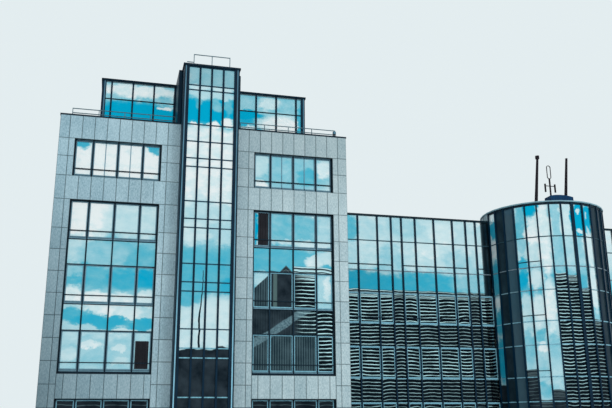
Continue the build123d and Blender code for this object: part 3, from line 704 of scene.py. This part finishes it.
def pairs(values):
    """Neighbouring values two by two, such as both sides of each bar of a lattice."""
    ordered = sorted({round(value, 3) for value in values})
    return list(zip(ordered[::2], ordered[1::2]))


def both(value):
    """The same value twice, such as for both edges of a pane."""
    return (value, value)


def grown(span, size):
    """A span made longer at both ends."""
    return (span[0] - size, span[1] + size)


NONE = both(0)
NO_ROOF = both(-9)


class Pane:
    """One clear field of a glazed wall with the painted reflection that it shows.

    Its roof line opposite, stripes of blinds, gloom and dusk have a value for its left and its right edge.
    """

    def __init__(self, wall, along, height, depth, column=0):
        self.wall = wall
        self.along = along
        self.height = height
        self.depth = depth
        self.column = column
        self.width = along[1] - along[0]
        self.storey, level = divmod(sum(height) / 2 - corner.z, STOREY)
        in_reach = OPENING_LEVELS[0] < level < OPENING_LEVELS[1]
        self.opens = in_reach and height[1] - height[0] > OPENING_HEIGHT
        self.span = (along[0] - wall.start, along[1] - wall.start)
        self.roof = NO_ROOF
        self.stripes = self.gloom = self.dusk = NONE
        self.curtain = self.glow = 0

    def add_to(self, shape):
        seed = chance.random()
        place = [(self.span[side], self.roof[side], self.gloom[side]) for side in (0, 1)]
        look = [(side, seed, self.stripes[side]) for side in (0, 1)]
        room = [(self.curtain, self.glow, self.dusk[side]) for side in (0, 1)]
        marks = {"wall_place": place * 4, "pane_look": look * 4, "pane_room": room * 4}
        shape.box(self.wall, grown(self.along, PANE_LAP), self.depth, grown(self.height, PANE_LAP), **marks)


def sash(shape, pane, front):
    """The frame of an opening window, seated on the glass."""
    a0, a1 = pane.along
    z0, z1 = pane.height
    depth = (front - SASH_DEPTH, front)
    shape.box(pane.wall, (a0, a0 + SASH_SIDE), depth, (z0, z1))
    shape.box(pane.wall, (a1 - SASH_SIDE, a1), depth, (z0, z1))
    inner = grown(pane.along, -SASH_SIDE)
    shape.box(pane.wall, inner, depth, (z0, z0 + SASH_BOTTOM))
    shape.box(pane.wall, inner, depth, (z1 - SASH_SIDE, z1))


def transom(shape, pane, front):
    """A thin dark bar across an opening window."""
    level = corner.z + pane.storey * STOREY + TRANSOM_HEIGHT
    depth = (front - SASH_DEPTH - TRANSOM_BAR, front - SASH_DEPTH)
    shape.box(pane.wall, pane.along, depth, grown(both(level), TRANSOM_BAR / 2))


def lattice_panes(frames, sheets):
    """The panes of the stone block's window groups, from the lattices of their frames."""
    middle = middle_of("block_roof")
    panes = []
    glazing = [(wall_of(points, middle), points) for points in solids(sheets)]
    for points in solids(frames):
        wall = wall_of(points, middle)
        posts = pairs(p.dot(wall.along) for p in points)
        bars = pairs(p.z for p in points)
        depth = next(wall.spans(sheet)[1] for side, sheet in glazing if side is wall)
        front = wall.spans(points)[1][0]
        for column, (left, right) in enumerate(zip(posts, posts[1:])):
            for low, high in zip(bars, bars[1:]):
                panes.append(Pane(wall, (left[1], right[0]), (low[1], high[0]), depth, column))
                panes[-1].front = front
    return panes


def curtain_panes(name, middle):
    """The panes of a flat curtain wall, from its posts, rails and sheets of glass."""
    posts = [(wall_of_post(points, name), points) for points in solids(name + "_posts")]
    rails = [(wall_of(points, middle), points) for points in solids(name + "_rails")]
    runs = {}
    for points in solids(name + "_glass"):
        wall = wall_of(points, middle)
        along, depth, height = wall.spans(points)
        key = (id(wall), round(along[0], 2))
        known = runs.setdefault(key, [wall, along, depth, height])
        known[3] = (min(known[3][0], height[0]), max(known[3][1], height[1]))
    panes = []
    for wall, along, depth, height in runs.values():
        own = []
        for run, reach, _ in [wall.spans(points) for side, points in posts if side is wall]:
            if along[0] - 0.3 < run[0] and run[1] < along[1] + 0.3 and abs(reach[0] - depth[0]) < 0.5:
                own.append(run)
        found = [wall.spans(points) for side, points in rails if side is wall]
        levels = [rise for run, _, rise in found if along[0] - 0.1 < run[0] < along[1]]
        for column, field in enumerate(inner_spans(along, own)):
            panes += [Pane(wall, field, rise, depth, column) for rise in inner_spans(height, levels)]
    return panes


def wall_of_post(points, name):
    """The wall of an upright post: the side of its building that it lies nearest to."""
    low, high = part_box(name + "_posts")
    centre = sum(points, Vector()) / len(points)
    if name in ("tower", "wing_front"):
        return FRONT
    gaps = {REAR: high.y - centre.y, RIGHT: high.x - centre.x}
    if name == "attic":
        gaps[FRONT] = centre.y - low.y
        gaps[LEFT] = centre.x - low.x
    return min(gaps, key=gaps.get)


def drum_panes():
    """The panes of the round drum, side by side."""
    axis = middle_of("rotunda_roof")
    levels = {tuple(round(z, 3) for z in FRONT.spans(points)[2]) for points in solids("rotunda_rails")}
    sides = {}
    for points in solids("rotunda_glass"):
        centre = sum(points, Vector()) / len(points)
        outward = Vector((centre.x - axis.x, centre.y - axis.y, 0)).normalized()
        angle = round(math.degrees(math.atan2(outward.y, outward.x)))
        known = sides.setdefault(angle, [outward, points, []])
        known[2] += [p.z for p in points]
    panes = []
    for index, angle in enumerate(sorted(sides)):
        outward, points, heights = sides[angle]
        wall = Wall(outward)
        along, depth, _ = wall.spans(points)
        for rise in inner_spans((min(heights), max(heights)), levels):
            pane = Pane(wall, along, rise, depth, index)
            pane.span = (DRUM_START + index, DRUM_START + index + 1)
            panes.append(pane)
    return panes


# Where the right windows and the wing start, the roof lines in the painted reflection, and a slope's foot and
# top
RIGHT_GROUP_START = 10
WING_START = 17
WING_ROOF_LINE = 10.12
GROUP_ROOF_LINE = 9.97
GUTTER_RISE = 0.36
TOWER_ROOF_LINE = 5.45
GROUND_ROOF_LINE = 9
SIDE_ROOF_LINE = 3.4
REAR_ROOF_LINE = 6
SLOPE = (8.95, 9.75)


def look_of_window(pane):
    """Which panes of the stone block show a painted reflection of the sky, and which of the building
    opposite.
    """
    if pane.wall is not FRONT:
        pane.roof = both(SIDE_ROOF_LINE)
        pane.stripes = both(0.3)
    elif pane.storey < 1:
        pane.roof = both(GROUND_ROOF_LINE)
        pane.stripes = both(0.15)
    elif pane.span[0] > RIGHT_GROUP_START and pane.storey < 4:
        look_of_opposite(pane)


def look_of_opposite(pane):
    """The part of the building opposite that each lower pane of the right windows shows in painted
    reflection.
    """
    pane.roof = both(GROUP_ROOF_LINE + (GUTTER_RISE if pane.column > 1 and pane.storey == 3 else 0))
    if pane.storey == 3:
        pane.stripes = both(0.95 if pane.column > 1 else 0.1)
    elif pane.column == 3:
        pane.stripes = both(1)
    elif pane.column == 2:
        pane.stripes = (0.1, 1)
    if pane.storey == 2 and pane.opens:
        if pane.column == 3:
            pane.roof = NO_ROOF
        elif pane.column == 0:
            pane.roof = SLOPE
            pane.curtain = 0.8
        elif pane.column == 1:
            pane.glow = -1
    elif pane.storey < 3 and pane.column < 3:
        pane.glow = 1
        pane.curtain = 0.9 if pane.opens else 0.15
        pane.stripes = (0, 0.8 if pane.column == 2 and not pane.opens else 0)


def look_of_wing(pane):
    """The wing's panes and their painted reflections, where the blinds and the dusk fade to the right."""
    if pane.wall is not FRONT:
        pane.roof = both(REAR_ROOF_LINE)
        pane.stripes = both(0.5)
        return
    pane.roof = both(WING_ROOF_LINE)
    share = 0.9 if pane.opens and pane.width > WIDE_PANE else 0.4
    away = pane.span[0] - WING_START
    pane.stripes = both(share * max(0.5, 1 - 0.04 * away))
    if pane.storey == 3 and not pane.opens:
        dusk = max(0.04, 0.26 - 0.03 * away)
        pane.dusk = (dusk, dusk - 0.03)


# For each drum side from its left end, in its painted reflection: the roof line, the stripes of blinds and
# the gloom
NO_LINE = NO_ROOF[0]
DRUM_LOOKS = (
    (4, 0, 0), (NO_LINE, 0, 0.9), (NO_LINE, 0, 0.28), (4.9, 0.12, 0), (3, 0.1, 0),
    (3.6, 0.1, 0), (10.95, 0.42, 0), (10.8, 0.38, 0), (10, 0.34, 0), (8, 0.25, 0),
    (NO_LINE, 0, 0.8), (NO_LINE, 0, 0.5), (NO_LINE, 0, 0.8), *[(6, 0.5, 0)] * 4,
)
# Its sides with a fine bar and those in shade, and the height of its head bars
DRUM_BARRED = (3, 4)
DRUM_SHADED = (0, 1, 2, 10, 11, 12)
DRUM_HEAD = 0.09


def window_pieces():
    """Glass, sashes and fine bars of the stone block's windows."""
    bars, strips, blue, grey = (Shape() for _ in range(4))
    for side in ("front", "rear", "side"):
        sheets = Shape()
        for pane in lattice_panes(side + "_window_frames", side + "_window_glass"):
            look_of_window(pane)
            pane.add_to(sheets)
            if pane.opens:
                front = pane.depth[0]
                # Lower sashes take the pale blue tone, which is painted light
                low = pane.storey < 1 or (pane.storey < 3 and pane.span[0] > RIGHT_GROUP_START)
                sash(blue if low else grey, pane, front)
                transom(bars, pane, front)
                strip = grown(both(pane.front), EDGE_PROUD)
                below = (pane.height[0] - BAR_STRIP[1], pane.height[0] - BAR_STRIP[0])
                strips.box(pane.wall, pane.along, strip, below)
                if pane.storey > 3:
                    above = (pane.height[1] + BAR_STRIP[0], pane.height[1] + BAR_STRIP[1])
                    strips.box(pane.wall, pane.along, strip, above)
                    if pane.column in (1, 2):
                        run = grown(both(sum(pane.along) / 2), TRANSOM_BAR / 2)
                        grey.box(pane.wall, run, (front - SASH_DEPTH, front), pane.height)
        sheets.piece(side + "_panes", glass, "mirror_glass", side + "_window_glass")
    bars.piece("window_fine_bars", dark_metal, "window_frame")
    blue.piece("pale_window_sashes", sash_blue, "window_frame")
    grey.piece("grey_window_sashes", sash_grey, "window_frame")
    strips.piece("window_bar_strips", sash_grey, "window_frame")


def wing_pieces():
    """Glass, sashes and fine bars of the wing and the drum."""
    bars = Shape()
    sashes = Shape()
    for name in ("wing_front", "wing_rear"):
        sheets = Shape()
        panes = curtain_panes(name, middle_of("wing_roof_upstand"))
        drum_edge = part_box("rotunda_roof")[0].x - FRONT.start - 0.3
        starts = [pane.span[0] for pane in panes if pane.wall is FRONT and pane.span[0] < drum_edge]
        for pane in panes:
            look_of_wing(pane)
            beside_drum = pane.wall is FRONT and pane.span[0] == max(starts)
            # The pane beside the drum: a painted reflection of the drum's dark side in its upper part
            if beside_drum and pane.height[0] > WING_ROOF_LINE - 0.5:
                pane.gloom = (-0.45, 1)
            pane.add_to(sheets)
            if pane.opens and pane.width > WIDE_PANE:
                # The wing's lower sashes take the pale blue tone, which is painted light
                if pane.storey < 3:
                    sash(sashes, pane, pane.depth[0])
                transom(bars, pane, pane.depth[0])
        sheets.piece(name + "_panes", glass, "mirror_glass", name + "_glass")
    sheets = Shape()
    shaded = Shape()
    for pane in drum_panes():
        roof, stripes, gloom = DRUM_LOOKS[pane.column]
        pane.roof, pane.stripes, pane.gloom = both(roof), both(stripes), both(gloom)
        pane.add_to(shaded if pane.column in DRUM_SHADED else sheets)
        front = pane.depth[0]
        if pane.opens and pane.column in DRUM_BARRED:
            transom(bars, pane, front + SASH_DEPTH)
        if pane.storey > 3:
            head = (pane.height[1] - DRUM_HEAD, pane.height[1])
            bars.box(pane.wall, pane.along, (front - SASH_DEPTH, front), head)
    sheets.piece("drum_panes", glass, "mirror_glass", "rotunda_glass")
    shaded.piece("drum_shaded_panes", side_glass, "mirror_glass")
    bars.piece("wing_fine_bars", dark_metal, "window_frame")
    sashes.piece("wing_sashes", sash_blue, "window_frame")


def tower_and_attic_pieces():
    """Mirror glass of the tower and the set-back top storey, and the strips on their corner posts."""
    for name in ("tower", "attic"):
        sheets = Shape()
        for pane in curtain_panes(name, middle_of("block_roof")):
            if name == "tower":
                pane.roof = both(TOWER_ROOF_LINE)
                # The top panes: a darker painted reflection of the sky
                if pane.height[1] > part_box("tower_glass")[1].z - 1:
                    pane.dusk = (0.22, 0.16)
            pane.add_to(sheets)
        sheets.piece(name + "_panes", glass, "mirror_glass", name + "_glass")
    edges = Shape()
    for points in solids("tower_corner_posts"):
        along, depth, height = FRONT.spans(points)
        reach = (depth[0] - EDGE_PROUD, depth[1])
        edges.box(FRONT, (along[0] - EDGE_PROUD, along[0] + CORNER_EDGE), reach, height)
        edges.box(FRONT, (along[1] - CORNER_EDGE, along[1] + EDGE_PROUD), reach, height)
    edges.piece("tower_post_edges", dark_metal, "window_frame")
    strips = Shape()
    for points in solids("attic_posts"):
        for wall in (FRONT, REAR, LEFT, RIGHT):
            along, depth, height = wall.spans(points)
            outer = wall.spans(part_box("attic_posts"))[1][0]
            thick = min(along[1] - along[0], depth[1] - depth[0]) > 0.2
            if thick and abs(depth[0] - outer) < 0.01:
                middle = sum(along) / 2
                run = (middle, middle + CORNER_EDGE)
                strips.box(wall, run, (depth[0] - EDGE_PROUD, depth[0] + 0.01), height)
    strips.piece("attic_post_strips", light_strip, "light_trim")


# Dark slatted panels in two open windows, darkened as painted shade of the unlit room, as place along the
# front and height
SLATTED = (((4.72, 5.42), (4.48, 5.93)), ((11.26, 11.84), (11.48, 13.36)))
SLAT = 0.09
SLAT_GAP = 0.05
SHEET_DEPTH = 0.02
SLAT_DEPTH = 0.045


def open_windows():
    """The dark slatted panels that show in two windows, partly painted shade of the unlit room behind them.
    """
    shape = Shape()
    front = FRONT.spans(solids("front_window_glass")[0])[1][0]
    for places, rise in SLATTED:
        run = (places[0] + FRONT.start, places[1] + FRONT.start)
        shape.box(FRONT, run, (front - SHEET_DEPTH, front), rise)
        place = run[0]
        while place + SLAT < run[1]:
            shape.box(FRONT, (place, place + SLAT), (front - SLAT_DEPTH, front - SHEET_DEPTH), rise)
            place += SLAT + SLAT_GAP
    shape.piece("open_window_slats", room_dark, "dark_steel")


# The boxes of the roof lamp: along the front, into the roof from its edge and up from its top
LAMP_PLACE = 15.9
LAMP_DEPTH = (0.26, 0.3)
LAMP_CASE = (0.22, 0.38)
LAMP_BODY = (
    ((-0.05, 0.05), LAMP_DEPTH, (0, 0.02)), ((-0.015, 0.015), LAMP_DEPTH, (0, 0.14)),
    ((-0.1, 0.1), LAMP_DEPTH, (0.12, 0.14)), ((-0.1, -0.085), LAMP_DEPTH, (0.14, 0.32)),
    ((0.085, 0.1), LAMP_DEPTH, (0.14, 0.32)), ((-0.085, 0.085), (0.22, 0.34), LAMP_CASE),
)
LAMP_LENS = (((-0.07, 0.07), (0.21, 0.22), LAMP_CASE),)


def roof_lamp():
    """A small floodlight on the edge of the roof."""
    low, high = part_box("block_coping")
    origin = (FRONT.start + LAMP_PLACE, FRONT.spans([low])[1][0], high.z)
    body = Shape()
    lens = Shape()
    for shape, boxes in ((body, LAMP_BODY), (lens, LAMP_LENS)):
        for sides in boxes:
            shape.box(FRONT, *((start + a, start + b) for start, (a, b) in zip(origin, sides)))
    body.piece("roof_lamp_body", dark_metal, "dark_steel")
    lens.piece("roof_lamp_lens", light_strip, "light_trim")


def panel_lines(middle):
    """Upright joints between stone panels, laid out from the middle of the wall to both sides."""
    places = [PANEL_FIRST + index * PANEL_WIDTH for index in range(PANEL_COUNT)]
    return [middle + side * place for place in places for side in (-1, 1)]


def panel_levels():
    """Level joints of the full-height strips of stone."""
    levels = [corner.z + level for level in PANEL_LEVELS]
    level = PANEL_COURSE_TOP
    while level > 0:
        levels.append(corner.z + level)
        level -= STOREY / 3
    return levels


def cut(span, places):
    """Divide a span at the places that lie inside it."""
    margin = 3 * PANEL_JOINT
    inside = sorted(place for place in places if span[0] + margin < place < span[1] - margin)
    edges = [span[0]] + inside + [span[1]]
    return list(zip(edges, edges[1:]))


def stone_pieces():
    """Stone panels with open joints, hung on the walls of the block."""
    middle = middle_of("block_roof")
    for side, walls in (("front", (FRONT, FRONT)), ("rear", (REAR, REAR)), ("side", (LEFT, RIGHT))):
        found = {"piers": [], "bands": []}
        edges = {p.z for points in solids(f"{side}_wall_bands") for p in points}
        courses = [next((edge for edge in sorted(edges) if abs(edge - level) < 0.06), level)
                   for level in panel_levels()]
        for kind, panels in found.items():
            for points in solids(f"{side}_wall_{kind}"):
                wall = walls[points[0].x > middle.x]
                along, depth, height = wall.spans(points)
                lines = panel_lines(middle.dot(wall.along))
                rises = cut(height, courses if kind == "piers" else [])
                panels += [[wall, run, depth[0], rise] for run in cut(along, lines) for rise in rises]
        shape = Shape()
        for panel in found["bands"]:
            for other in list(found["piers"]):
                if joined(panel, other, middle.dot(panel[0].along)):
                    run = panel[1]
                    panel[1] = (min(run[0], other[1][0]), max(run[1], other[1][1]))
                    found["piers"].remove(other)
        for panel in found["piers"] + found["bands"]:
            add_panel(shape, *panel)
        shape.piece(side + "_stone_panels", stone, "stone_cladding")


def joined(panel, other, axis):
    """Whether the parts of one stone panel lie on a band and on the pier beside it."""
    wall, run, _, rise = panel
    if wall is not other[0] or max(abs(rise[i] - other[3][i]) for i in (0, 1)) > 0.06:
        return False
    for place, beside in ((run[0], other[1][1]), (run[1], other[1][0])):
        share = (abs(place - axis) - PANEL_FIRST) / PANEL_WIDTH
        if abs(place - beside) < 0.01 and abs(share - round(share)) * PANEL_WIDTH > 3 * PANEL_JOINT:
            return True
    return False


def add_panel(shape, wall, run, face, rise):
    along = grown(run, -PANEL_JOINT / 2)
    height = grown(rise, -PANEL_JOINT / 2)
    wide = along[1] - along[0]
    high = height[1] - height[0]
    tone = chance.random()
    places = [(x, z, tone) for z in (0, high) for _ in range(2) for x in (0, wide)]
    size = [(wide, high, 0)]
    shape.box(wall, along, (face - PANEL_THICKNESS, face), height, panel_place=places, panel_size=size)


def set_camera():
    place = Matrix.Translation(corner + Vector(CAMERA_PLACE))
    for angle, axis in ((-CAMERA_YAW, "Z"), (90 + CAMERA_PITCH, "X"), (CAMERA_ROLL, "Z")):
        place = place @ Matrix.Rotation(math.radians(angle), 4, axis)
    data = bpy.data.cameras.new("photo_camera")
    data.lens = CAMERA_LENS
    data.sensor_width = SENSOR_WIDTH
    data.clip_end = CAMERA_REACH
    camera = show("photo_camera", data)
    camera.matrix_world = place
    bpy.context.scene.camera = camera


def set_light():
    world = bpy.data.worlds.new("pale_studio")
    world.use_nodes = True
    back = world.node_tree.nodes["Background"]
    back.inputs["Color"].default_value = SURROUNDINGS
    back.inputs["Strength"].default_value = SURROUNDINGS_STRENGTH
    bpy.context.scene.world = world
    bpy.context.scene.view_settings.view_transform = "Standard"
    data = bpy.data.lights.new("soft_box", "AREA")
    data.energy = SOFT_BOX_POWER
    data.size = SOFT_BOX_SIZE
    box = show("soft_box", data)
    place = Vector(SOFT_BOX_PLACE)
    box.matrix_world = Matrix.Translation(place) @ (-place).to_track_quat("-Z", "Y").to_matrix().to_4x4()
    box.visible_glossy = False


def set_floor():
    mesh = bpy.data.meshes.new("studio_floor")
    corners = [(x * FLOOR_HALF, y * FLOOR_HALF, 0) for x, y in ((-1, -1), (1, -1), (1, 1), (-1, 1))]
    mesh.from_pydata(corners, [], [(0, 1, 2, 3)])
    paint = Paint("pale_floor", 0.8)
    speck = paint.noise(2, 3)
    paint.colour(paint.ramp(speck, [(0.3, (0.6, 0.63, 0.64)), (0.7, (0.68, 0.7, 0.71))]))
    mesh.materials.append(paint.material)
    floor = show("studio_floor", mesh)


set_camera()
set_light()
set_floor()
stone_pieces()
window_pieces()
wing_pieces()
tower_and_attic_pieces()
open_windows()
roof_lamp()
